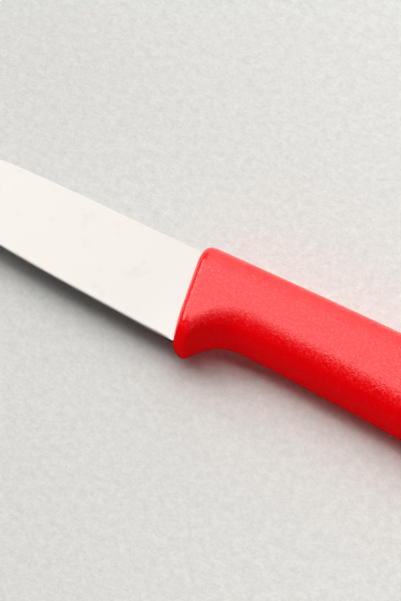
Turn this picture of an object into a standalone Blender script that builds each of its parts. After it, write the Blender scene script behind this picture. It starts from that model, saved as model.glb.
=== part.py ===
# Fruit knife: a stamped steel blade whose hidden tang is locked into a one-piece moulded plastic handle.
# The knife lies on its side. X runs along it from the tip (-X) to the butt (+X), Y across it from the
# cutting edge (-Y) to the spine (+Y), and Z up through its thickness. All lengths are in metres.
# While the parts are worked out, x = 0 is the handle's front, y = 0 the spine and z = 0 the middle plane.
import math

import bmesh
import bpy
import numpy as np

# Blade, as seen from the side
BLADE_LENGTH = 0.090          # from the handle's front to the tip
BLADE_HEIGHT = 0.0193         # from the spine to the cutting edge, at the handle
SPINE_STRAIGHT = 0.024        # length of spine in front of the handle that is straight
SPINE_POWER = 2.4             # how late the spine then falls
TIP_DROP = 0.0065             # fall of the spine from there to the tip
EDGE_STRAIGHT = 0.020         # length of cutting edge in front of the handle that is straight
EDGE_SLOPE = 0.050            # rise of that straight edge towards the tip, per unit of length
EDGE_POWER = 2.3              # how late the edge then sweeps up
TIP_HEIGHT = 0.0004           # height left at the very tip

# Blade, as seen from its end
STOCK_THICKNESS = 0.0012      # the sheet that the blade is stamped from
TIP_THICKNESS = 0.0007        # the spine at the tip
BEVEL_THICKNESS = 0.0003      # the ground blade at the top of the sharpened bevel
BEVEL_HEIGHT = 0.0003         # height of the sharpened bevel
EDGE_THICKNESS = 0.00005      # the cutting edge itself
GRIND_RUNOUT = 0.0085         # length in front of the handle over which the stock thins to the ground edge

# Tang
SHOULDER_DEPTH = 0.0045       # length of full-height blade inside the handle
SHOULDER_SLOPE = 0.0010       # length over which the shoulders come down to the tang
TANG_LENGTH = 0.070           # from the handle's front to the tang's end
TANG_HEIGHT = 0.009
TANG_CHAMFER = 0.0015         # on the corners of the tang's end
HOLE_DIAMETER = 0.0045        # of the two locking holes
HOLE_BEHIND_SHOULDER = 0.016  # from the shoulder to the front hole's centre
HOLE_FROM_END = 0.014         # from the rear hole's centre to the tang's end
FIT_CLEARANCE = 0.0003        # all round between steel and plastic

# Handle, as seen from the side
HANDLE_LENGTH = 0.110         # from its front to its butt
FRONT_LEAN = math.radians(11.3)  # the front's top is nearer to the tip than its foot is
LEAN_FADE = 0.025             # length behind the front over which that lean dies out
BACK_CREST = 0.042            # from the front to the highest place of the back
BACK_HEIGHT = 0.0022          # of that place above the spine
BACK_RISE = 0.0006            # of the back from the front to that place
BACK_FALL = 0.0035            # of the back from that place to the butt
BACK_FALL_POWER = 2.2         # how late the back falls
BACK_CORNER = 0.0022          # radius of the corner between front and back
GUARD_DEPTH = 0.0019          # of the guard below the blade's edge
GUARD_CORNER_LENGTH = 0.0029  # the rounded toe of the guard, along the handle
GUARD_CORNER_HEIGHT = 0.0020  # the same, across the handle
NOTCH_DISTANCE = 0.0133       # from the front to the top of the finger notch
GUARD_HEEL = 0.0013           # how far the guard's foot runs on before it turns up into the notch
NOTCH_SWEEP = 0.0064          # how gently the notch turns into the grip
WAIST_DEPTH = 0.0152          # of the underside below the spine, at the top of the notch
GRIP_DEPTH = 0.0161           # the same, part of the way to the belly
BELLY_DEPTH = 0.0176          # the same, at the belly
REAR_WAIST_DEPTH = 0.0170     # the same, in front of the hook
HOOK_DEPTH = 0.0183           # the same, at the hook of the butt
GRIP_PLACE = 0.26             # places of these, as shares of the way from the notch to the butt
BELLY_PLACE = 0.54
REAR_WAIST_PLACE = 0.77
HOOK_PLACE = 0.93
BUTT_BACK_CORNER = 0.0070     # radius of the butt's corner at the back
BUTT_HOOK_CORNER = 0.0040     # radius of the butt's corner at the hook
BUTT_BULGE = 0.0018           # how far the butt's middle stands out behind its corners
BULGE_FADE = 0.020            # length in front of the butt over which that bulge dies out

# Handle, as seen from its end
HANDLE_THICKNESS = 0.012
SIDE_ROUNDING = 0.0064        # how far the rounded back and underside reach in from the outline
LEAST_ROUNDING = 0.0010       # what is left of that rounding at the corners
ROUNDING_LIMIT = 0.45         # most of the local height that one rounded side may take
FRONT_FILLET = 0.0020         # round between the sides and the front
BUTT_FLAT = 0.0030            # thickness of the flat left on the rounded butt

# Fineness of the surfaces
CORNER_STEPS = 6
NOTCH_STEPS = 9
GRIP_STEPS = 16
BUTT_STEPS = 9
ROUND_STEPS = 8
RUNOUT_STEPS = 5
EDGE_STEPS = 18
HOLE_SIDES = 24

# Overshoot of a cutter past what it cuts, and the distance under which points are one point
OVERSHOOT = 0.004
MERGE = 0.000002

# Places that follow from the sizes above
MIDDLE = -BLADE_HEIGHT / 2
EDGE_AT_FRONT = math.tan(FRONT_LEAN) * BLADE_HEIGHT / 2
GUARD_FOOT = -(BLADE_HEIGHT + GUARD_DEPTH)
BUTT_FILLET = (HANDLE_THICKNESS - BUTT_FLAT) / 2
WAIST_MIDDLE = (BACK_HEIGHT - BACK_RISE - WAIST_DEPTH) / 2


def power_ramp(distance, start, end, power):
    """0 up to start, then a power curve that reaches 1 at end."""
    return (np.maximum(distance - start, 0.0) / (end - start)) ** power


def drawn_back(distance, radius):
    """How far a quarter round of this radius has drawn an outline back, at a distance from its end."""
    missing = radius - np.clip(distance, 0.0, radius)
    return radius - np.sqrt(radius**2 - missing**2)


def smooth_line(places, x):
    """A curve through the (distance, height) places that is level at the first one."""
    px, py = np.array(places).T
    gap = np.diff(px)
    rise = np.diff(py) / gap
    inner = (rise[:-1] * gap[1:] + rise[1:] * gap[:-1]) / (gap[:-1] + gap[1:])
    slope = np.concatenate([[0.0], inner, rise[-1:]])
    i = np.clip(np.searchsorted(px, x) - 1, 0, len(gap) - 1)
    t = (x - px[i]) / gap[i]
    start = (1 + 2 * t) * (1 - t) ** 2 * py[i] + t * (1 - t) ** 2 * gap[i] * slope[i]
    end = t**2 * (3 - 2 * t) * py[i + 1] + t**2 * (t - 1) * gap[i] * slope[i + 1]
    return start + end


def bezier(points, t):
    """A cubic Bezier curve's coordinate at t, from that of its four points."""
    a, b, c, d = points
    return (1 - t) ** 3 * a + 3 * t * (1 - t) ** 2 * b + 3 * t**2 * (1 - t) * c + t**3 * d


def make_material(name, color, metallic, roughness):
    """A plain finish for one part."""
    material = bpy.data.materials.new(name)
    material.use_nodes = True
    shader = material.node_tree.nodes["Principled BSDF"]
    shader.inputs["Base Color"].default_value = (*color, 1.0)
    shader.inputs["Metallic"].default_value = metallic
    shader.inputs["Roughness"].default_value = roughness
    return material


def make_collection(name):
    collection = bpy.data.collections.new(name)
    bpy.context.scene.collection.children.link(collection)
    return collection


def add_mirrored_loft(name, sections, collection):
    """A solid through half sections, each running from edge to back on the z >= 0 side of the middle plane.

    A first and last section that lie flat in the middle plane close its ends.
    """
    flat = sections * np.array([1.0, 1.0, 0.0])
    rows = np.concatenate([flat[:1], sections, flat[-1:]])
    count, width, _ = rows.shape
    mesh = bpy.data.meshes.new(name)
    corner = np.arange(count * width).reshape(count, width)
    faces = np.stack([corner[:-1, :-1], corner[1:, :-1], corner[1:, 1:], corner[:-1, 1:]], -1)
    mesh.from_pydata(rows.reshape(-1, 3).tolist(), [], faces.reshape(-1, 4).tolist())
    shape = bmesh.new()
    shape.from_mesh(mesh)
    bmesh.ops.remove_doubles(shape, verts=shape.verts, dist=MERGE)
    shape.to_mesh(mesh)
    shape.free()
    part = bpy.data.objects.new(name, mesh)
    collection.objects.link(part)
    mirror = part.modifiers.new("other_side", "MIRROR")
    mirror.use_axis = (False, False, True)
    mirror.merge_threshold = MERGE
    return part


def hide_as_cutter(cutter):
    cutter.hide_render = True
    cutter.display_type = "WIRE"
    return cutter


def add_cut(part, cutter):
    """Cuts a piece away from a part."""
    cut = part.modifiers.new(cutter.name, "BOOLEAN")
    cut.operation = "DIFFERENCE"
    cut.solver = "EXACT"
    cut.object = cutter


def finish(part, material, parent):
    """Gives a part its finish, its soft shading and its place under the knife."""
    part.data.materials.append(material)
    part.data.shade_smooth()
    part.data.set_sharp_from_angle(angle=math.radians(30))
    part.parent = parent


def blade_outline(ahead):
    """Heights of the cutting edge and of the spine, at a distance ahead of the handle's front."""
    spine = -TIP_DROP * power_ramp(ahead, SPINE_STRAIGHT, BLADE_LENGTH, SPINE_POWER)
    sweep = BLADE_HEIGHT - TIP_DROP - TIP_HEIGHT - EDGE_SLOPE * BLADE_LENGTH
    edge = -BLADE_HEIGHT + EDGE_SLOPE * ahead
    edge = edge + sweep * power_ramp(ahead, EDGE_STRAIGHT, BLADE_LENGTH, EDGE_POWER)
    return edge, spine


def plate_section(x, edge, spine, thickness):
    """A half section of plain stock, with the same points as a ground one."""
    half = thickness / 2
    middle = (edge + spine) / 2
    return [(x, edge, 0.0), (x, edge, half), (x, middle, half), (x, spine, half), (x, spine, 0.0)]


def ground_section(ahead):
    """A half section of the blade: flat ground from the spine to a small sharpened bevel."""
    edge, spine = blade_outline(ahead)
    t = np.clip((ahead + EDGE_AT_FRONT) / GRIND_RUNOUT, 0.0, 1.0)
    ground = 1.0 - (1.0 - t) ** 2
    back = STOCK_THICKNESS + (TIP_THICKNESS - STOCK_THICKNESS) * max(ahead, 0.0) / BLADE_LENGTH
    bevel_top = back + (BEVEL_THICKNESS - back) * ground
    sharp = bevel_top + (EDGE_THICKNESS - bevel_top) * ground
    bevel = edge + min(BEVEL_HEIGHT, (spine - edge) / 2)
    x = -ahead
    return [(x, edge, 0.0), (x, edge, sharp / 2), (x, bevel, bevel_top / 2), (x, spine, back / 2), (x, spine, 0.0)]


def tang_sections(grow):
    """Half sections of the tang and shoulders, from its end forward, grown all round by a clearance."""
    thickness = STOCK_THICKNESS + 2 * grow
    low = WAIST_MIDDLE - TANG_HEIGHT / 2 - grow
    high = WAIST_MIDDLE + TANG_HEIGHT / 2 + grow
    end = TANG_LENGTH + grow
    shoulder = SHOULDER_DEPTH + grow
    heel, spine = blade_outline(-SHOULDER_DEPTH)
    return [
        plate_section(end, low + TANG_CHAMFER, high - TANG_CHAMFER, thickness),
        plate_section(end - TANG_CHAMFER, low, high, thickness),
        plate_section(shoulder + SHOULDER_SLOPE, low, high, thickness),
        plate_section(shoulder, heel - grow, spine + grow, thickness),
    ]


def add_hole_cutters(name, radius, depth, collection):
    """Cylinders through the tang's two locking holes."""
    shape = bmesh.new()
    for x in (SHOULDER_DEPTH + HOLE_BEHIND_SHOULDER, TANG_LENGTH - HOLE_FROM_END):
        made = bmesh.ops.create_cone(
            shape, cap_ends=True, segments=HOLE_SIDES, radius1=radius, radius2=radius, depth=depth
        )
        bmesh.ops.translate(shape, verts=made["verts"], vec=(x, WAIST_MIDDLE, 0.0))
    mesh = bpy.data.meshes.new(name)
    shape.to_mesh(mesh)
    shape.free()
    cutter = bpy.data.objects.new(name, mesh)
    collection.objects.link(cutter)
    return hide_as_cutter(cutter)


def make_blade(parts, cutters):
    """One piece of stamped steel: tang, shoulders and a flat-ground blade."""
    runout = np.linspace(-EDGE_AT_FRONT, GRIND_RUNOUT - EDGE_AT_FRONT, RUNOUT_STEPS + 1)
    # The stations draw closer together towards the tip, where the outline curves most
    t = np.linspace(0.0, 1.0, EDGE_STEPS + 1)[1:]
    sweep = runout[-1] + (BLADE_LENGTH - runout[-1]) * np.sin(t * math.pi / 2)
    sections = tang_sections(0.0) + [ground_section(ahead) for ahead in np.concatenate([runout, sweep])]
    blade = add_mirrored_loft("blade", np.array(sections)[::-1], parts)
    add_cut(blade, add_hole_cutters("tang_holes", HOLE_DIAMETER / 2, STOCK_THICKNESS * 4, cutters))
    return blade


def make_pocket_cutter(cutters):
    """The space that the tang, shoulders and heel fill in the handle, with the locking plugs left standing."""
    heel, spine = blade_outline(-SHOULDER_DEPTH)
    thickness = STOCK_THICKNESS + 2 * FIT_CLEARANCE
    mouth = plate_section(-EDGE_AT_FRONT - OVERSHOOT, heel - FIT_CLEARANCE, spine + FIT_CLEARANCE, thickness)
    sections = np.array(tang_sections(FIT_CLEARANCE) + [mouth])
    pocket = hide_as_cutter(add_mirrored_loft("pocket", sections[::-1], cutters))
    plug_radius = HOLE_DIAMETER / 2 - FIT_CLEARANCE
    add_cut(pocket, add_hole_cutters("plugs", plug_radius, STOCK_THICKNESS * 8, cutters))
    return pocket


def underside(count_toe, count_notch, count_grip):
    """Distances and heights of points along the underside, from the guard's toe to the butt."""
    angle = np.linspace(0.0, math.pi / 2, count_toe)
    toe_x = GUARD_CORNER_LENGTH * (1 - np.cos(angle))
    toe_y = GUARD_FOOT + GUARD_CORNER_HEIGHT * (1 - np.sin(angle))
    t = np.linspace(0.0, 1.0, count_notch)[1:]
    turn_up = GUARD_CORNER_LENGTH + GUARD_HEEL
    notch_x = bezier((GUARD_CORNER_LENGTH, turn_up, NOTCH_DISTANCE - NOTCH_SWEEP, NOTCH_DISTANCE), t)
    notch_y = bezier((GUARD_FOOT, GUARD_FOOT, -WAIST_DEPTH, -WAIST_DEPTH), t)
    butt_start = HANDLE_LENGTH - max(BUTT_BACK_CORNER, BUTT_HOOK_CORNER, BUTT_FILLET)
    rounding = np.sin(np.linspace(0.0, math.pi / 2, BUTT_STEPS))
    grip_x = np.concatenate([
        np.linspace(NOTCH_DISTANCE, butt_start, count_grip)[1:],
        (butt_start + (HANDLE_LENGTH - butt_start) * rounding)[1:],
    ])
    grip = HANDLE_LENGTH - NOTCH_DISTANCE
    places = [
        (NOTCH_DISTANCE, -WAIST_DEPTH),
        (NOTCH_DISTANCE + GRIP_PLACE * grip, -GRIP_DEPTH),
        (NOTCH_DISTANCE + BELLY_PLACE * grip, -BELLY_DEPTH),
        (NOTCH_DISTANCE + REAR_WAIST_PLACE * grip, -REAR_WAIST_DEPTH),
        (NOTCH_DISTANCE + HOOK_PLACE * grip, -HOOK_DEPTH),
        (HANDLE_LENGTH, -HOOK_DEPTH),
    ]
    grip_y = smooth_line(places, grip_x)
    return np.concatenate([toe_x, notch_x, grip_x]), np.concatenate([toe_y, notch_y, grip_y])


def handle_sections():
    """Half sections of the handle: a flat side between a rounded underside and a rounded back."""
    u, low = underside(CORNER_STEPS + 1, NOTCH_STEPS + 1, GRIP_STEPS + 1)
    from_butt = HANDLE_LENGTH - u
    back = BACK_HEIGHT - BACK_RISE * np.clip(1 - u / BACK_CREST, 0.0, 1.0) ** 2
    back = back - BACK_FALL * power_ramp(u, BACK_CREST, HANDLE_LENGTH, BACK_FALL_POWER)
    # Corners draw the outline in at both ends, and the rounded sides get narrower with them
    toe_drawn = np.where(u < GUARD_CORNER_LENGTH, low - GUARD_FOOT, 0.0)
    hook_drawn = drawn_back(from_butt, BUTT_HOOK_CORNER)
    back_drawn = drawn_back(u, BACK_CORNER) + drawn_back(from_butt, BUTT_BACK_CORNER)
    low = low + hook_drawn
    high = back - back_drawn
    limit = ROUNDING_LIMIT * (high - low)
    low_round = np.minimum(np.maximum(SIDE_ROUNDING - toe_drawn / 2 - hook_drawn, LEAST_ROUNDING), limit)
    high_round = np.minimum(np.maximum(SIDE_ROUNDING - back_drawn, LEAST_ROUNDING), limit)
    half = HANDLE_THICKNESS / 2 - drawn_back(u, FRONT_FILLET) - drawn_back(from_butt, BUTT_FILLET)

    angle = np.linspace(0.0, math.pi / 2, ROUND_STEPS + 1)
    low_y = low[:, None] + low_round[:, None] * (1 - np.cos(angle))
    high_y = high[:, None] - high_round[:, None] * (1 - np.cos(angle[::-1]))
    y = np.concatenate([low_y, high_y], 1)
    z = half[:, None] * np.sin(np.concatenate([angle, angle[::-1]]))
    # The front leans forward at the top, and the butt stands out in the middle
    below = MIDDLE - y
    lean = math.tan(FRONT_LEAN) * np.clip(1 - u / LEAN_FADE, 0.0, 1.0)[:, None] ** 2
    bulge = BUTT_BULGE * np.clip(1 - from_butt / BULGE_FADE, 0.0, 1.0)[:, None] ** 2
    x = u[:, None] + lean * below - bulge * (below / MIDDLE) ** 2
    return np.stack([x, y, z], -1)


def make_handle(parts, cutters):
    """One moulding of plastic round the tang, with a guard, a finger notch, a belly and a hooked butt."""
    sections = handle_sections()
    handle = add_mirrored_loft("handle", sections, parts)
    add_cut(handle, make_pocket_cutter(cutters))
    return handle, sections


def main():
    for old in list(bpy.data.objects):
        bpy.data.objects.remove(old, do_unlink=True)
    parts = make_collection("fruit_knife")
    cutters = make_collection("cutters")
    steel = make_material("ground_stainless_steel", (0.72, 0.71, 0.68), 1.0, 0.30)
    plastic = make_material("red_moulded_plastic", (0.60, 0.004, 0.008), 0.0, 0.45)

    knife = bpy.data.objects.new("knife", None)
    parts.objects.link(knife)
    blade = make_blade(parts, cutters)
    handle, sections = make_handle(parts, cutters)
    finish(blade, steel, knife)
    finish(handle, plastic, knife)
    # The origin is under the middle of the knife, on the surface that it lies on
    low, high = sections[..., 1].min(), sections[..., 1].max()
    knife.location = ((BLADE_LENGTH - sections[..., 0].max()) / 2, -(low + high) / 2, HANDLE_THICKNESS / 2)
    for cutter in cutters.objects:
        cutter.parent = knife


main()
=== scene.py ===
import math

import bmesh
import bpy
import numpy as np
from mathutils import Matrix, Vector


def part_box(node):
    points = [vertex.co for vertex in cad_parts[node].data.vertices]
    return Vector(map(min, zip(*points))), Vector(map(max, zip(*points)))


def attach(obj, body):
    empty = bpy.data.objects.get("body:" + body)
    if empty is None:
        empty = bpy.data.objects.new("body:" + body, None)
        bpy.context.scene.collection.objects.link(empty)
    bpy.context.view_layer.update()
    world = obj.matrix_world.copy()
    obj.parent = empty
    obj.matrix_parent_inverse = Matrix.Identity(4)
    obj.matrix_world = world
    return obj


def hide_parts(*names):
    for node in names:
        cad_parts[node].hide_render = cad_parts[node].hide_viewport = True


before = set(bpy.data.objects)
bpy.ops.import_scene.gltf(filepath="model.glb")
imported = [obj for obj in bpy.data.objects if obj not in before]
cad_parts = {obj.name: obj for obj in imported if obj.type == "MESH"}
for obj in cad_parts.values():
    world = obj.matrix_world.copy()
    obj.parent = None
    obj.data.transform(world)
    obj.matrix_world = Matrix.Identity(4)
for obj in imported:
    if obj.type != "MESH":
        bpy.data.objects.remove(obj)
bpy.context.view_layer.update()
print("frame loaded:", sorted(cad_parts))

# What the two pieces share, in metres. x = 0 is the handle's front, y = 0 the blade's straight
# spine and z = 0 the middle of the thickness.
knife = {
    "bladeLength": 0.090,  # from the handle's front to the tip
    "bladeHeight": 0.0193,  # from the spine to the edge, at the handle
    "backHeight": 0.0022,  # the handle's back above the spine, at its highest
    "handleLength": 0.110,
    "frontLean": math.radians(11.3),  # the handle's front leans towards the tip at its top
    "weldDistance": 2e-7,  # points of a mesh that are this close become one
    "sharpAngle": math.radians(32),  # faces that meet more sharply show a crease
}


# Where the shared origin lies in the frame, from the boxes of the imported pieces.
def knifeOrigin():
    low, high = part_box("handle")
    middle = (low.z + high.z) / 2
    return np.array([high.x - knife["handleLength"], high.y - knife["backHeight"], middle])


# Adds a node with its settings. Each input gets a value, or the socket that it is linked from.
def addNode(tree, kind, inputs=None, **settings):
    node = tree.nodes.new(kind)
    for name, value in settings.items():
        setattr(node, name, value)
    for key, value in (inputs or {}).items():
        if isinstance(value, bpy.types.NodeSocket):
            tree.links.new(value, node.inputs[key])
        else:
            node.inputs[key].default_value = value
    return node


# A linear colour from an sRGB hex value.
def hexColour(text):
    channels = np.array([int(text[i:i + 2], 16) for i in (0, 2, 4)]) / 255.0
    linear = np.where(channels <= 0.04045, channels / 12.92, ((channels + 0.055) / 1.055) ** 2.4)
    return (*linear.tolist(), 1.0)


# A material with these values on its Principled shader's own sockets. Where a pattern is linked
# over one, its value is about the pattern's own level.
def startMaterial(name, colour, **values):
    material = bpy.data.materials.new(name)
    material.use_nodes = True
    shader = material.node_tree.nodes["Principled BSDF"]
    shader.inputs["Base Color"].default_value = hexColour(colour)
    for key, value in values.items():
        shader.inputs[key].default_value = value
    return material, shader


# A skin through rings of points, shaped (rings, points, 3): each point is joined to the next one of
# its ring and to the same ones of the next ring.
def tubeMesh(name, rings):
    count, around, _ = rings.shape
    corner = np.arange(count * around).reshape(count, around)
    right = np.roll(corner, -1, axis=1)
    quads = np.stack([corner[:-1], corner[1:], right[1:], right[:-1]], -1).reshape(-1, 4)
    mesh = bpy.data.meshes.new(name)
    mesh.from_pydata(rings.reshape(-1, 3), [], quads.tolist())
    shape = bmesh.new()
    shape.from_mesh(mesh)
    bmesh.ops.remove_doubles(shape, verts=shape.verts, dist=knife["weldDistance"])
    bmesh.ops.recalc_face_normals(shape, faces=shape.faces)
    shape.to_mesh(mesh)
    shape.free()
    return mesh


# Puts a finished mesh into the scene in place of its solid.
def addPiece(name, mesh, material, node):
    mesh.materials.append(material)
    mesh.shade_smooth()
    mesh.set_sharp_from_angle(angle=knife["sharpAngle"])
    piece = bpy.data.objects.new(name, mesh)
    bpy.context.scene.collection.objects.link(piece)
    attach(piece, "root")
    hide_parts(node)
    print(name, "has", len(mesh.polygons), "faces")
    return piece


# 0 up to start, then a power curve that reaches 1 at end.
def ramp(distance, start, end, power):
    return (np.maximum(distance - start, 0.0) / (end - start)) ** power


# How far a quarter round has drawn an outline back, at a distance from its end: radius less the
# root of radius squared less the missing distance squared.
def drawnBack(distance, radius):
    missing = radius - np.clip(distance, 0.0, radius)
    return radius - np.sqrt(radius**2 - missing**2)


# Whole rings from half ones, which run from the middle plane round the upper side and back to it.
# The first and last rings are repeated flat, so that their halves meet and close the ends once
# welded.
def closedRings(half):
    other = half[:, ::-1][:, 1:-1] * np.array([1.0, 1.0, -1.0])
    rings = np.concatenate([half, other], 1)
    flat = rings * np.array([1.0, 1.0, 0.0])
    return np.concatenate([flat[:1], rings, flat[-1:]])


blade = {
    "spineStraight": 0.024,  # length of straight spine in front of the handle
    "spinePower": 2.4,  # how late the spine then falls
    "tipDrop": 0.0065,  # fall of the spine from there to the tip
    "edgeStraight": 0.020,  # length of straight edge in front of the handle
    "edgeSlope": 0.050,  # rise of that edge towards the tip, per unit of length
    "edgePower": 2.3,  # how late the edge then sweeps up
    "tipHeight": 0.0004,  # height left at the very tip
    "stock": 0.0012,  # thickness of the sheet
    "tipThickness": 0.0007,  # the spine at the tip
    "bevelThickness": 0.0003,  # the ground blade at the top of the sharpened bevel
    "bevelHeight": 0.0003,
    "edgeThickness": 0.00005,
    "runout": 0.0085,  # length over which the full sheet thins to the ground edge
    "spineRound": 0.00003,  # broken corners of the spine
    "shoulderDepth": 0.0045,  # length of full-height blade inside the handle
    "shoulderSlope": 0.0010,  # length over which the shoulders come down to the tang
    "tangLength": 0.070,
    "tangHeight": 0.009,
    "tangChamfer": 0.0015,
    "tangMiddle": -0.0068,  # height of the tang's middle line
    "stations": 150,  # along the blade, and the rest are steps in a curve
    "runoutStations": 20,
    "flankSteps": 24,
    "cornerSteps": 3,
    "colour": "a5a19d",
    "markColour": "928e8a",
    "roughness": 0.38,
    "gritScale": (8000.0, 350.0, 350.0),  # per metre: lines 0.12 mm apart and 3 mm long
    "gritDepth": 0.00002,
    "gritStrength": 0.12,
    "markScale": 260.0,  # per metre: marks 2 to 5 mm across
    "markFrom": 0.60,  # value of the noise at which a mark begins
    "markTo": 0.72,  # and at which it is full
    "markShare": 0.2,  # of markColour in a full mark
}


# Edge and spine heights. The spine is straight and then falls by a power curve; the edge rises by a
# slope and then by a power curve to meet it at the tip.
def bladeOutline(ahead):
    b, k = blade, knife
    spine = -b["tipDrop"] * ramp(ahead, b["spineStraight"], k["bladeLength"], b["spinePower"])
    sweep = k["bladeHeight"] - b["tipDrop"] - b["tipHeight"] - b["edgeSlope"] * k["bladeLength"]
    edge = -k["bladeHeight"] + b["edgeSlope"] * ahead
    return edge + sweep * ramp(ahead, b["edgeStraight"], k["bladeLength"], b["edgePower"]), spine


# Half sections from edge to spine at stations from the tip to the tang's end. The flank is a
# straight line from the top of the bevel to the spine's rounded corner. It thins from the heel's
# full sheet to the ground edge by 1 - (1 - t)^2.
def bladeRings():
    b, k = blade, knife
    front = math.tan(k["frontLean"]) * k["bladeHeight"] / 2
    t = np.linspace(0.0, 1.0, b["stations"])
    sweep = k["bladeLength"] * np.sin(t * math.pi / 2)[::-1]
    runout = np.linspace(-front, b["runout"], b["runoutStations"])
    ahead = np.unique(np.concatenate([sweep, runout]))[::-1]
    ahead = np.append(ahead, -b["shoulderDepth"])
    edge, spine = bladeOutline(ahead)
    ground = 1.0 - (1.0 - np.clip((ahead + front) / b["runout"], 0.0, 1.0)) ** 2
    taper = (b["tipThickness"] - b["stock"]) * np.maximum(ahead, 0.0) / k["bladeLength"]
    back = b["stock"] + taper
    bevelTop = back + (b["bevelThickness"] - back) * ground
    sharp = bevelTop + (b["edgeThickness"] - bevelTop) * ground
    bevel = edge + np.minimum(b["bevelHeight"], (spine - edge) / 2)
    # The tang: plain sheet, narrower than the shoulders, with chamfered end corners
    end, chamfer = b["tangLength"], b["tangChamfer"]
    tangX = -np.array([b["shoulderDepth"] + b["shoulderSlope"], end - chamfer, end])
    half = np.array([1.0, 1.0, 1.0 - 2 * chamfer / b["tangHeight"]]) * b["tangHeight"] / 2
    ahead = np.concatenate([ahead, tangX])
    edge = np.concatenate([edge, b["tangMiddle"] - half])
    spine = np.concatenate([spine, b["tangMiddle"] + half])
    bevel = np.concatenate([bevel, edge[-len(tangX):] + b["bevelHeight"]])
    full = np.full(len(tangX), b["stock"])
    back, bevelTop, sharp = (np.concatenate([v, full]) for v in (back, bevelTop, sharp))

    # At the thin tip the spine's corners take a quarter of what height is left
    corner = np.minimum(b["spineRound"], (spine - bevel) / 4)
    turn = np.linspace(0.0, math.pi / 2, b["cornerSteps"] + 1)[1:]
    # Rows crowd towards both edges of the flank, so that it shades as flat right up to its corners
    share = (1 - np.cos(np.linspace(0.0, math.pi, b["flankSteps"] + 1))) / 2
    flankY = bevel[:, None] + (spine - corner - bevel)[:, None] * share
    flankZ = (bevelTop[:, None] + (back - bevelTop)[:, None] * share) / 2
    roundY = (spine - corner)[:, None] + corner[:, None] * np.sin(turn)
    roundZ = (back / 2 - corner)[:, None] + corner[:, None] * np.cos(turn)
    y = np.concatenate([edge[:, None], edge[:, None], flankY, roundY, spine[:, None]], 1)
    zero = np.zeros((len(ahead), 1))
    z = np.concatenate([zero, sharp[:, None] / 2, flankZ, roundZ, zero], 1)
    x = np.broadcast_to(-ahead[:, None], y.shape)
    return closedRings(np.stack([x, y, z], -1))


# Stainless cutlery steel, ground on its flanks: satin, with fine grinding lines across the blade
# that soften reflections
def steelMaterial():
    b = blade
    material, shader = startMaterial(
        "groundStainlessSteel", b["colour"], Metallic=1.0, Roughness=b["roughness"]
    )
    tree = material.node_tree
    place = addNode(tree, "ShaderNodeTexCoord").outputs["Object"]
    # Grit lines run from edge to spine. Real ones are about 0.03 mm apart, and these are drawn
    # 0.12 mm apart so that they show.
    stretched = addNode(tree, "ShaderNodeMapping", {"Vector": place, "Scale": b["gritScale"]})
    lines = addNode(
        tree, "ShaderNodeTexNoise",
        {"Vector": stretched.outputs["Vector"], "Scale": 1.0, "Detail": 3.0},
    )
    # Faint wiped marks
    marks = addNode(
        tree, "ShaderNodeTexNoise",
        {"Vector": place, "Scale": b["markScale"], "Detail": 2.0, "Roughness": 0.6},
    )
    faint = addNode(
        tree, "ShaderNodeMapRange",
        {
            "Value": marks.outputs["Fac"], "From Min": b["markFrom"], "From Max": b["markTo"],
            "To Min": 0.0, "To Max": b["markShare"],
        },
    )
    mixed = addNode(
        tree, "ShaderNodeMix",
        {
            "Factor": faint.outputs["Result"],
            "A": hexColour(b["colour"]), "B": hexColour(b["markColour"]),
        },
        data_type="RGBA",
    )
    tree.links.new(mixed.outputs["Result"], shader.inputs["Base Color"])
    bump = addNode(
        tree, "ShaderNodeBump",
        {
            "Height": lines.outputs["Fac"],
            "Strength": b["gritStrength"], "Distance": b["gritDepth"],
        },
    )
    tree.links.new(bump.outputs["Normal"], shader.inputs["Normal"])
    return material


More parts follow.
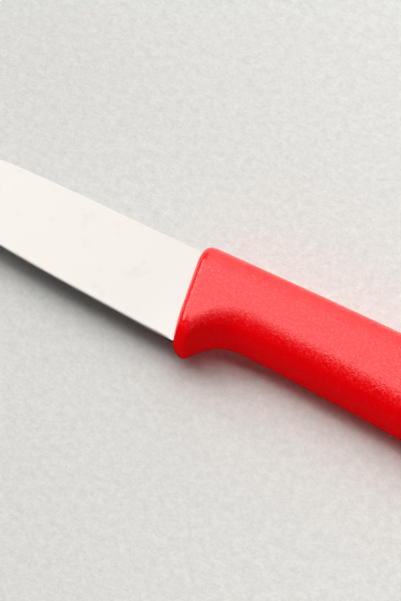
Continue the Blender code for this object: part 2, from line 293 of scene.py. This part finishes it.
handle = {
    "leanFade": 0.025,  # length behind the front over which its lean dies out
    "backCrest": 0.042,  # from the front to the highest place of the back
    "backRise": 0.0006,  # of the back from the front to there
    "backFall": 0.0035,  # of the back from there to the butt
    "backFallPower": 2.2,  # how late it falls
    "backCorner": 0.0022,  # radius between front and back
    "guardDepth": 0.0019,  # of the guard below the blade's edge
    "guardCornerLength": 0.0029,  # the rounded toe of the guard, along the handle
    "guardCornerHeight": 0.0020,  # and across it
    "notchDistance": 0.0133,  # from the front to the top of the finger notch
    "guardHeel": 0.0013,  # how far the guard's foot runs on before it turns up into the notch
    "notchSweep": 0.0064,  # how gently the notch turns into the grip
    "waistDepth": 0.0152,  # of the underside below the spine, at the top of the notch
    "gripDepth": 0.0161,
    "bellyDepth": 0.0176,
    "rearWaistDepth": 0.0170,
    "hookDepth": 0.0183,
    "gripPlace": 0.26,  # these four are shares of the length behind the notch
    "bellyPlace": 0.54,
    "rearWaistPlace": 0.77,
    "hookPlace": 0.93,
    "buttBackCorner": 0.0070,
    "buttHookCorner": 0.0040,
    "buttBulge": 0.0018,  # how far the middle of the butt stands out
    "bulgeFade": 0.020,  # length over which it comes in
    "thickness": 0.012,
    "sideRounding": 0.0064,  # height of the rounding along underside and back
    "leastRounding": 0.0010,  # what is left of it where a corner is drawn back
    "roundingLimit": 0.45,  # the most of the height that one rounding takes
    "frontFillet": 0.0020,  # round between the front and the sides
    "buttFlat": 0.0030,  # thickness that the rounded butt ends in
    "slotGap": 0.00003,  # the plastic grips the steel, so nearly no gap shows
    "ridgeHeight": 0.00005,  # the mould's parting line
    "ridgeWidth": 0.00009,
    "ridgeFrontFade": 0.002,  # lengths over which it dies out at both ends
    "ridgeButtFade": 0.006,
    "toeSteps": 22,  # these are numbers of steps
    "notchSteps": 44,
    "gripSteps": 110,
    "buttSteps": 26,
    "roundSteps": 38,
    "roundCrowding": 1.8,  # how much points crowd towards the parting line
    "sideSteps": 10,
    "colour": "fa020a",
    # pale specks painted on the flat sides: a painted highlight for the grain's glints
    "paintedGlintColour": "ff454d",
    "glossiest": 0.10,  # least and most roughness
    "dullest": 0.13,
    "flowScale": 60.0,  # per metre: 10 to 20 mm
    "waveScale": 1200.0,  # per metre: 0.8 mm
    "waveDepth": 0.00003,
    "grainScale": 4200.0,  # per metre: 0.25 mm
    "grainDepth": 0.00007,
    "rimWidth": 0.003,  # of the polished front rim
    "rimGrain": 0.3,  # share of the grain that is left at the rim
    "paintedGlintScale": 2000.0,  # per metre: specks of 0.5 mm and finer
    "paintedGlintFrom": 0.48,  # value of the noise at which a speck begins
    "paintedGlintTo": 0.7,  # and at which it is full
    "paintedGlintDepth": 0.0014,  # depth below the side at which the painted glints end
}


# A cubic curve through the (distance, height) places that is level at the first one. Each place's
# slope is the mean of its two neighbours', weighted towards the nearer place.
def smoothLine(places, x):
    px, py = np.array(places).T
    gap = np.diff(px)
    rise = np.diff(py) / gap
    inner = (rise[:-1] * gap[1:] + rise[1:] * gap[:-1]) / (gap[:-1] + gap[1:])
    slope = np.concatenate([[0.0], inner, rise[-1:]])
    i = np.clip(np.searchsorted(px, x) - 1, 0, len(gap) - 1)
    t = (x - px[i]) / gap[i]
    start = (1 + 2 * t) * (1 - t) ** 2 * py[i] + t * (1 - t) ** 2 * gap[i] * slope[i]
    return start + t**2 * (3 - 2 * t) * py[i + 1] + t**2 * (t - 1) * gap[i] * slope[i + 1]


# A cubic Bezier curve from its four control values.
def bezier(controls, t):
    a, b, c, d = controls
    return (1 - t) ** 3 * a + 3 * t * (1 - t) ** 2 * b + 3 * t**2 * (1 - t) * c + t**3 * d


# Length over which each side rounds in to the butt.
def buttFillet():
    return (handle["thickness"] - handle["buttFlat"]) / 2


# Distances and depths along the underside: an elliptic toe, a Bezier up into the finger notch, and
# a smooth line through grip, belly, rear waist and hook.
def underside():
    h, length = handle, knife["handleLength"]
    foot = -(knife["bladeHeight"] + h["guardDepth"])
    angle = np.linspace(0.0, math.pi / 2, h["toeSteps"] + 1)
    toeX = h["guardCornerLength"] * (1 - np.cos(angle))
    toeY = foot + h["guardCornerHeight"] * (1 - np.sin(angle))
    t = np.linspace(0.0, 1.0, h["notchSteps"] + 1)[1:]
    top, waist = h["notchDistance"], -h["waistDepth"]
    heel = h["guardCornerLength"] + h["guardHeel"]
    notchX = bezier((h["guardCornerLength"], heel, top - h["notchSweep"], top), t)
    notchY = bezier((foot, foot, waist, waist), t)
    buttStart = length - max(h["buttBackCorner"], h["buttHookCorner"], buttFillet())
    rounding = np.sin(np.linspace(0.0, math.pi / 2, h["buttSteps"]))
    gripX = np.concatenate([
        np.linspace(top, buttStart, h["gripSteps"] + 1)[1:],
        (buttStart + (length - buttStart) * rounding)[1:],
    ])
    grip = length - top
    places = [
        (top, waist),
        (top + h["gripPlace"] * grip, -h["gripDepth"]),
        (top + h["bellyPlace"] * grip, -h["bellyDepth"]),
        (top + h["rearWaistPlace"] * grip, -h["rearWaistDepth"]),
        (top + h["hookPlace"] * grip, -h["hookDepth"]),
        (length, -h["hookDepth"]),
    ]
    along = np.concatenate([toeX, notchX, gripX])
    depth = np.concatenate([toeY, notchY, smoothLine(places, gripX)])
    return along, depth, foot


# Shifts stations: the front by slope times depth below the middle, and the butt back by the square
# of that depth, so that its middle stands out. Both fade by squares.
def leanAndBulge(u, y):
    h, k = handle, knife
    middle = -k["bladeHeight"] / 2
    below = middle - y
    lean = math.tan(k["frontLean"]) * np.clip(1 - u / h["leanFade"], 0.0, 1.0) ** 2
    fromButt = k["handleLength"] - u
    bulge = h["buttBulge"] * np.clip(1 - fromButt / h["bulgeFade"], 0.0, 1.0) ** 2
    return u + lean * below - bulge * (below / middle) ** 2


# Half sections along the handle: a quarter round up from the underside, a flat side, a quarter
# round down to the back, with z = half thickness * sin(angle). In front, rings shrink over the
# flat front into the slot, and on along the tang's pocket.
def handleRings():
    h, k = handle, knife
    u, low, foot = underside()
    fromButt = k["handleLength"] - u
    back = k["backHeight"] - h["backRise"] * np.clip(1 - u / h["backCrest"], 0.0, 1.0) ** 2
    back = back - h["backFall"] * ramp(u, h["backCrest"], k["handleLength"], h["backFallPower"])
    toeDrawn = np.where(u < h["guardCornerLength"], low - foot, 0.0)
    hookDrawn = drawnBack(fromButt, h["buttHookCorner"])
    backDrawn = drawnBack(u, h["backCorner"]) + drawnBack(fromButt, h["buttBackCorner"])
    low, high = low + hookDrawn + h["ridgeHeight"], back - backDrawn - h["ridgeHeight"]
    least, most = h["leastRounding"], h["roundingLimit"] * (high - low)
    lowRound = np.clip(h["sideRounding"] - toeDrawn / 2 - hookDrawn, least, most)
    highRound = np.clip(h["sideRounding"] - backDrawn, least, most)
    half = h["thickness"] / 2 - drawnBack(u, h["frontFillet"]) - drawnBack(fromButt, buttFillet())

    # Angles crowd towards the middle plane, where the parting line is
    steps = np.linspace(0.0, 1.0, h["roundSteps"] + 1)
    angle = math.pi / 2 * steps ** h["roundCrowding"]
    share = np.linspace(0.0, 1.0, h["sideSteps"] + 1)[1:-1]
    lowY = low[:, None] + lowRound[:, None] * (1 - np.cos(angle))
    highY = high[:, None] - highRound[:, None] * (1 - np.cos(angle[::-1]))
    sideY = lowY[:, -1:] + (highY[:, :1] - lowY[:, -1:]) * share
    y = np.concatenate([lowY, sideY, highY], 1)
    angles = np.concatenate([angle, np.full(len(share), math.pi / 2), angle[::-1]])
    z = half[:, None] * np.sin(angles)
    # The parting line is a low bell-shaped ridge, square to the outline, that dies out at the front
    # and at the butt
    slopeLow, slopeHigh = np.gradient(low, u), np.gradient(high, u)
    ridge = h["ridgeHeight"] * np.exp(-(z / h["ridgeWidth"]) ** 2)
    lowSide = np.arange(y.shape[1]) < y.shape[1] // 2
    slope = np.where(lowSide, slopeLow[:, None], slopeHigh[:, None])
    frontFade = np.clip(u / h["ridgeFrontFade"], 0.0, 1.0)
    fade = frontFade * np.clip(fromButt / h["ridgeButtFade"], 0.0, 1.0)
    push = ridge * fade[:, None] / np.sqrt(1 + slope**2)
    y = y + np.where(lowSide, -push, push)
    x = leanAndBulge(u[:, None], y)
    outer = np.stack([x, y, z], -1)

    # Front face and pocket: each ring point has a place on the slot's outline, by its share of the
    # way round
    heel, spine = bladeOutline(np.array(-blade["shoulderDepth"]))
    gap = h["slotGap"]
    up = np.linspace(0, 1, len(angle))
    rise = np.concatenate([up, np.ones(len(share)), np.linspace(1, 0, len(angle))])
    across = np.concatenate([np.zeros(len(angle)), share, np.ones(len(angle))])
    tangLow = blade["tangMiddle"] - blade["tangHeight"] / 2
    tangHigh = blade["tangMiddle"] + blade["tangHeight"] / 2
    chamfer = blade["tangChamfer"]
    slotZ = (blade["stock"] / 2 + gap) * rise

    # A ring of the slot at a place along the handle, or on its leaning front if no place is given
    def slotRing(place, bottom, top):
        slotY = bottom - gap + (top - bottom + 2 * gap) * across
        slotX = leanAndBulge(0.0, slotY) if place is None else np.full(len(slotY), place)
        return np.stack([slotX, slotY, slotZ], -1)

    shoulder = blade["shoulderDepth"] + gap
    end = blade["tangLength"] + gap
    pocket = np.stack([
        slotRing(end, tangLow + chamfer, tangHigh - chamfer),
        slotRing(end - chamfer, tangLow, tangHigh),
        slotRing(shoulder + blade["shoulderSlope"], tangLow, tangHigh),
        slotRing(shoulder, float(heel), float(spine)),
        slotRing(None, float(heel), float(spine)),
    ])
    # One ring on the front face, a third of the way from the outline to the slot
    inner = (outer[0] * 2 + pocket[-1]) / 3
    inner[:, 0] = leanAndBulge(0.0, inner[:, 1])
    return closedRings(np.concatenate([pocket, inner[None], outer]))


# Polypropylene, injection moulded against a spark-eroded mould: deep red, with a fine pebbled
# grain that breaks its gloss up
def plasticMaterial(origin):
    h = handle
    material, shader = startMaterial(
        "mouldedRedPolypropylene", h["colour"],
        Roughness=(h["glossiest"] + h["dullest"]) / 2, IOR=1.49,
    )
    tree = material.node_tree
    place = addNode(tree, "ShaderNodeTexCoord").outputs["Object"]
    # Slight unevenness, and on it the grain of the mould
    waves = addNode(
        tree, "ShaderNodeTexNoise",
        {"Vector": place, "Scale": h["waveScale"], "Detail": 1.0, "Roughness": 0.5},
    )
    uneven = addNode(
        tree, "ShaderNodeBump",
        {"Height": waves.outputs["Fac"], "Strength": 1.0, "Distance": h["waveDepth"]},
    )
    cells = addNode(
        tree, "ShaderNodeTexNoise", {"Vector": place, "Scale": h["grainScale"], "Detail": 0.0}
    )
    # Handling has polished the grain along the front rim. The strength follows the distance behind
    # the front face.
    lean = math.tan(knife["frontLean"])
    behind = addNode(
        tree, "ShaderNodeVectorMath", {0: place, 1: (1.0, lean, 0.0)}, operation="DOT_PRODUCT"
    )
    face = float(origin[0] + lean * (origin[1] - knife["bladeHeight"] / 2))
    polish = addNode(
        tree, "ShaderNodeMapRange",
        {
            "Value": behind.outputs["Value"], "From Min": face, "From Max": face + h["rimWidth"],
            "To Min": h["rimGrain"], "To Max": 1.0,
        },
    )
    grain = addNode(
        tree, "ShaderNodeBump",
        {
            "Height": cells.outputs["Fac"], "Normal": uneven.outputs["Normal"],
            "Strength": polish.outputs["Result"], "Distance": h["grainDepth"],
        },
    )
    tree.links.new(grain.outputs["Normal"], shader.inputs["Normal"])
    # Pale specks are painted on the two flat sides as a painted highlight that stands for the
    # glints of the grain. The height, folded at half the thickness, is the distance from the nearer
    # side.
    glintNoise = addNode(
        tree, "ShaderNodeTexNoise",
        {"Vector": place, "Scale": h["paintedGlintScale"], "Detail": 1.0, "Roughness": 1.0},
    )
    glintSpecks = addNode(
        tree, "ShaderNodeMapRange",
        {
            "Value": glintNoise.outputs["Fac"],
            "From Min": h["paintedGlintFrom"], "From Max": h["paintedGlintTo"],
        },
    )
    height = addNode(tree, "ShaderNodeSeparateXYZ", {"Vector": place}).outputs["Z"]
    fromSide = addNode(
        tree, "ShaderNodeMath", {0: height, 1: h["thickness"] / 2}, operation="PINGPONG"
    )
    paintedGlints = addNode(
        tree, "ShaderNodeMapRange",
        {
            "Value": fromSide.outputs["Value"], "From Min": h["paintedGlintDepth"], "From Max": 0.0,
            "To Min": 0.0, "To Max": glintSpecks.outputs["Result"],
        },
    )
    mixed = addNode(
        tree, "ShaderNodeMix",
        {
            "Factor": paintedGlints.outputs["Result"],
            "A": hexColour(h["colour"]), "B": hexColour(h["paintedGlintColour"]),
        },
        data_type="RGBA",
    )
    tree.links.new(mixed.outputs["Result"], shader.inputs["Base Color"])
    # Gloss varies slightly, as the melt flowed
    flow = addNode(
        tree, "ShaderNodeTexNoise", {"Vector": place, "Scale": h["flowScale"], "Detail": 3.0}
    )
    gloss = addNode(
        tree, "ShaderNodeMapRange",
        {
            "Value": flow.outputs["Fac"], "From Min": 0.0, "From Max": 1.0,
            "To Min": h["glossiest"], "To Max": h["dullest"],
        },
    )
    tree.links.new(gloss.outputs["Result"], shader.inputs["Roughness"])
    return material


origin = knifeOrigin()
bladeMesh = tubeMesh("blade", bladeRings() + origin)
steel = addPiece("blade", bladeMesh, steelMaterial(), "blade")
handleMesh = tubeMesh("handle", handleRings() + origin)
addPiece("handle", handleMesh, plasticMaterial(origin), "handle")

plaster = {
    "size": 8.0,  # of the whole floor, in metres
    "darkColour": "c2c0bc",
    "paleColour": "f4f4f0",
    "mottleScale": 600.0,  # per metre: patches of 2 mm and finer
    # painted light: the floor grows paler towards the right, where the light falls stronger
    "paintedLightWay": (0.88, 0.48, 0.0),  # to the right of the picture
    "paintedLightReach": 0.04,  # metres to either side over which it grows paler
    "paintedLightLeft": 0.02,  # what is added to the mottle at either end
    "paintedLightRight": 0.26,
    "toothScale": 700.0,  # per metre: 1.5 mm and finer
    "toothDepth": 0.0004,
    "toothStrength": 0.7,
}


# Pale fine plaster, trowelled and dry: dull, with soft mottling and a fine tooth, and painted light
# that makes it paler towards the right
def floorMaterial():
    p = plaster
    material, shader = startMaterial("paleTrowelledPlaster", p["paleColour"], Roughness=0.8)
    tree = material.node_tree
    place = addNode(tree, "ShaderNodeTexCoord").outputs["Object"]
    mottle = addNode(
        tree, "ShaderNodeTexNoise",
        {"Vector": place, "Scale": p["mottleScale"], "Detail": 3.0, "Roughness": 1.0},
    )
    # Painted light: the floor is painted paler towards the right of the picture, where the light
    # falls stronger
    across = addNode(
        tree, "ShaderNodeVectorMath", {0: place, 1: p["paintedLightWay"]}, operation="DOT_PRODUCT"
    )
    paintedLight = addNode(
        tree, "ShaderNodeMapRange",
        {
            "Value": across.outputs["Value"],
            "From Min": -p["paintedLightReach"], "From Max": p["paintedLightReach"],
            "To Min": p["paintedLightLeft"], "To Max": p["paintedLightRight"],
        },
    )
    paler = addNode(
        tree, "ShaderNodeMath", {0: mottle.outputs["Fac"], 1: paintedLight.outputs["Result"]},
        operation="ADD",
    )
    mixed = addNode(
        tree, "ShaderNodeMix",
        {
            "Factor": paler.outputs["Value"],
            "A": hexColour(p["darkColour"]), "B": hexColour(p["paleColour"]),
        },
        data_type="RGBA",
    )
    tree.links.new(mixed.outputs["Result"], shader.inputs["Base Color"])
    tooth = addNode(
        tree, "ShaderNodeTexNoise",
        {"Vector": place, "Scale": p["toothScale"], "Detail": 6.0, "Roughness": 0.8},
    )
    bump = addNode(
        tree, "ShaderNodeBump",
        {
            "Height": tooth.outputs["Fac"],
            "Strength": p["toothStrength"], "Distance": p["toothDepth"],
        },
    )
    tree.links.new(bump.outputs["Normal"], shader.inputs["Normal"])
    return material


# The floor is in two halves that meet under the knife. The front one stays out of reflections, as
# if a black card hid it, which keeps the red of the handle's underside deep.
def addFloor():
    half = plaster["size"] / 2
    material = floorMaterial()
    for name, front, rear in (("frontFloor", -half, 0.0), ("rearFloor", 0.0, half)):
        corners = [(-half, front, 0), (half, front, 0), (half, rear, 0), (-half, rear, 0)]
        mesh = bpy.data.meshes.new(name)
        mesh.from_pydata(corners, [], [(0, 1, 2, 3)])
        mesh.materials.append(material)
        floor = bpy.data.objects.new(name, mesh)
        floor.visible_glossy = name == "rearFloor"
        bpy.context.scene.collection.objects.link(floor)


# A lamp's place is given by two angles in degrees from straight up: along the knife (towards the
# tip is negative) and across it (towards the spine is positive). Width runs along the knife and
# depth across it, also in degrees. Radiance is how bright it looks, whatever its size.
studio = {
    "worldLevel": 0.01,
    "worldTint": "fff4e8",
    "lampDistance": 6.0,
    "lamps": {
        "frontBox": {"along": -10, "across": 4.5, "width": 50, "depth": 9, "radiance": 2.0},
        "overheadBox": {"along": -14, "across": 18, "width": 44, "depth": 17, "radiance": 3.2},
        "rearBox": {"along": -14, "across": 40, "width": 46, "depth": 28, "radiance": 2.25},
        "farPanel": {"along": -14, "across": 63.5, "width": 44, "depth": 19, "radiance": 1.5},
        "horizonPanel": {"along": -14, "across": 89.5, "width": 60, "depth": 40, "radiance": 1.05},
        "tipBox": {"along": -48, "across": 1, "width": 26, "depth": 20, "radiance": 5.4},
        "tipPanel": {"along": -48, "across": 24, "width": 26, "depth": 24, "radiance": 1.95},
        "windowBox": {"along": -61, "across": 43, "width": 18, "depth": 14, "radiance": 4.45},
        "buttPanel": {"along": 30, "across": 16, "width": 34, "depth": 36, "radiance": 0.4},
        # These two brighten the floor in front and the handle's underside
        "frontFill": {
            "along": -10, "across": 1.5, "width": 50, "depth": 15, "radiance": 1.6,
            "seenInGloss": False,
        },
        "frontBand": {
            "along": 75, "across": -83, "width": 110, "depth": 11, "radiance": 2.7,
            "seenInGloss": False,
        },
        # These three make the blade mirror a pale room, seen from the other sides
        "frontRoom": {
            "along": 0, "across": -60, "width": 120, "depth": 56, "radiance": 1.3,
            "bladeOnly": True,
        },
        "tipRoom": {
            "along": -74, "across": 0, "width": 30, "depth": 70, "radiance": 1.5,
            "bladeOnly": True,
        },
        "buttRoom": {
            "along": 74, "across": 0, "width": 30, "depth": 70, "radiance": 1.5,
            "bladeOnly": True,
        },
    },
    # The camera's place, seen from its target: degrees round from the front and up from the floor
    "azimuth": 28.55,
    "elevation": 62.0,
    "distance": 0.475,  # metres, as are the rest but the lens and sensor
    "target": (-0.00772, 0.00034, 0.006),
    "lens": 150.0,  # millimetres
    "sensor": 36.0,  # its width, also in millimetres
    "nearest": 0.01,
    "farthest": 20.0,
}
bladeAlone = bpy.data.collections.new("bladeAlone")
bladeAlone.objects.link(steel)


# A rectangular lamp of even radiance, aimed at the middle of the knife. Its sides are twice its
# reach times the tangent of half their angle, and its power is radiance times pi times its area.
# One that isn't seen in gloss gives light and no reflection, and one for the blade alone lights
# nothing else.
def addLamp(name, along, across, width, depth, radiance, seenInGloss=True, bladeOnly=False):
    reach = studio["lampDistance"]
    lamp = bpy.data.lights.new(name, "AREA")
    lamp.shape = "RECTANGLE"
    lamp.size = 2 * reach * math.tan(math.radians(width / 2))
    lamp.size_y = 2 * reach * math.tan(math.radians(depth / 2))
    lamp.energy = radiance * math.pi * lamp.size * lamp.size_y
    slant = (math.tan(math.radians(along)), math.tan(math.radians(across)), 1.0)
    way = Vector(slant).normalized()
    side = (Vector((1.0, 0.0, 0.0)) - way * way.x).normalized()
    box = bpy.data.objects.new(name, lamp)
    box.location = way * reach
    box.rotation_euler = Matrix((side, way.cross(side), way)).transposed().to_euler()
    box.visible_camera = False
    box.visible_glossy = seenInGloss
    if bladeOnly:
        box.light_linking.receiver_collection = bladeAlone
    bpy.context.scene.collection.objects.link(box)


# A nearly dark world, because the lamps give the light
def addWorld():
    world = bpy.data.worlds.new("studio")
    world.use_nodes = True
    background = world.node_tree.nodes["Background"]
    background.inputs["Color"].default_value = hexColour(studio["worldTint"])
    background.inputs["Strength"].default_value = studio["worldLevel"]
    bpy.context.scene.world = world


def addCamera():
    data = bpy.data.cameras.new("camera")
    data.sensor_width = studio["sensor"]
    data.lens = studio["lens"]
    data.clip_start = studio["nearest"]
    data.clip_end = studio["farthest"]
    camera = bpy.data.objects.new("camera", data)
    a, e = math.radians(studio["azimuth"]), math.radians(studio["elevation"])
    way = Vector((math.sin(a) * math.cos(e), -math.cos(a) * math.cos(e), math.sin(e)))
    camera.location = Vector(studio["target"]) + way * studio["distance"]
    camera.rotation_euler = way.to_track_quat("Z", "Y").to_euler()
    bpy.context.scene.collection.objects.link(camera)
    bpy.context.scene.camera = camera


addFloor()
for name, lamp in studio["lamps"].items():
    addLamp(name, **lamp)
addWorld()
addCamera()
bpy.context.scene.view_settings.view_transform = "Standard"
print("studio is set")
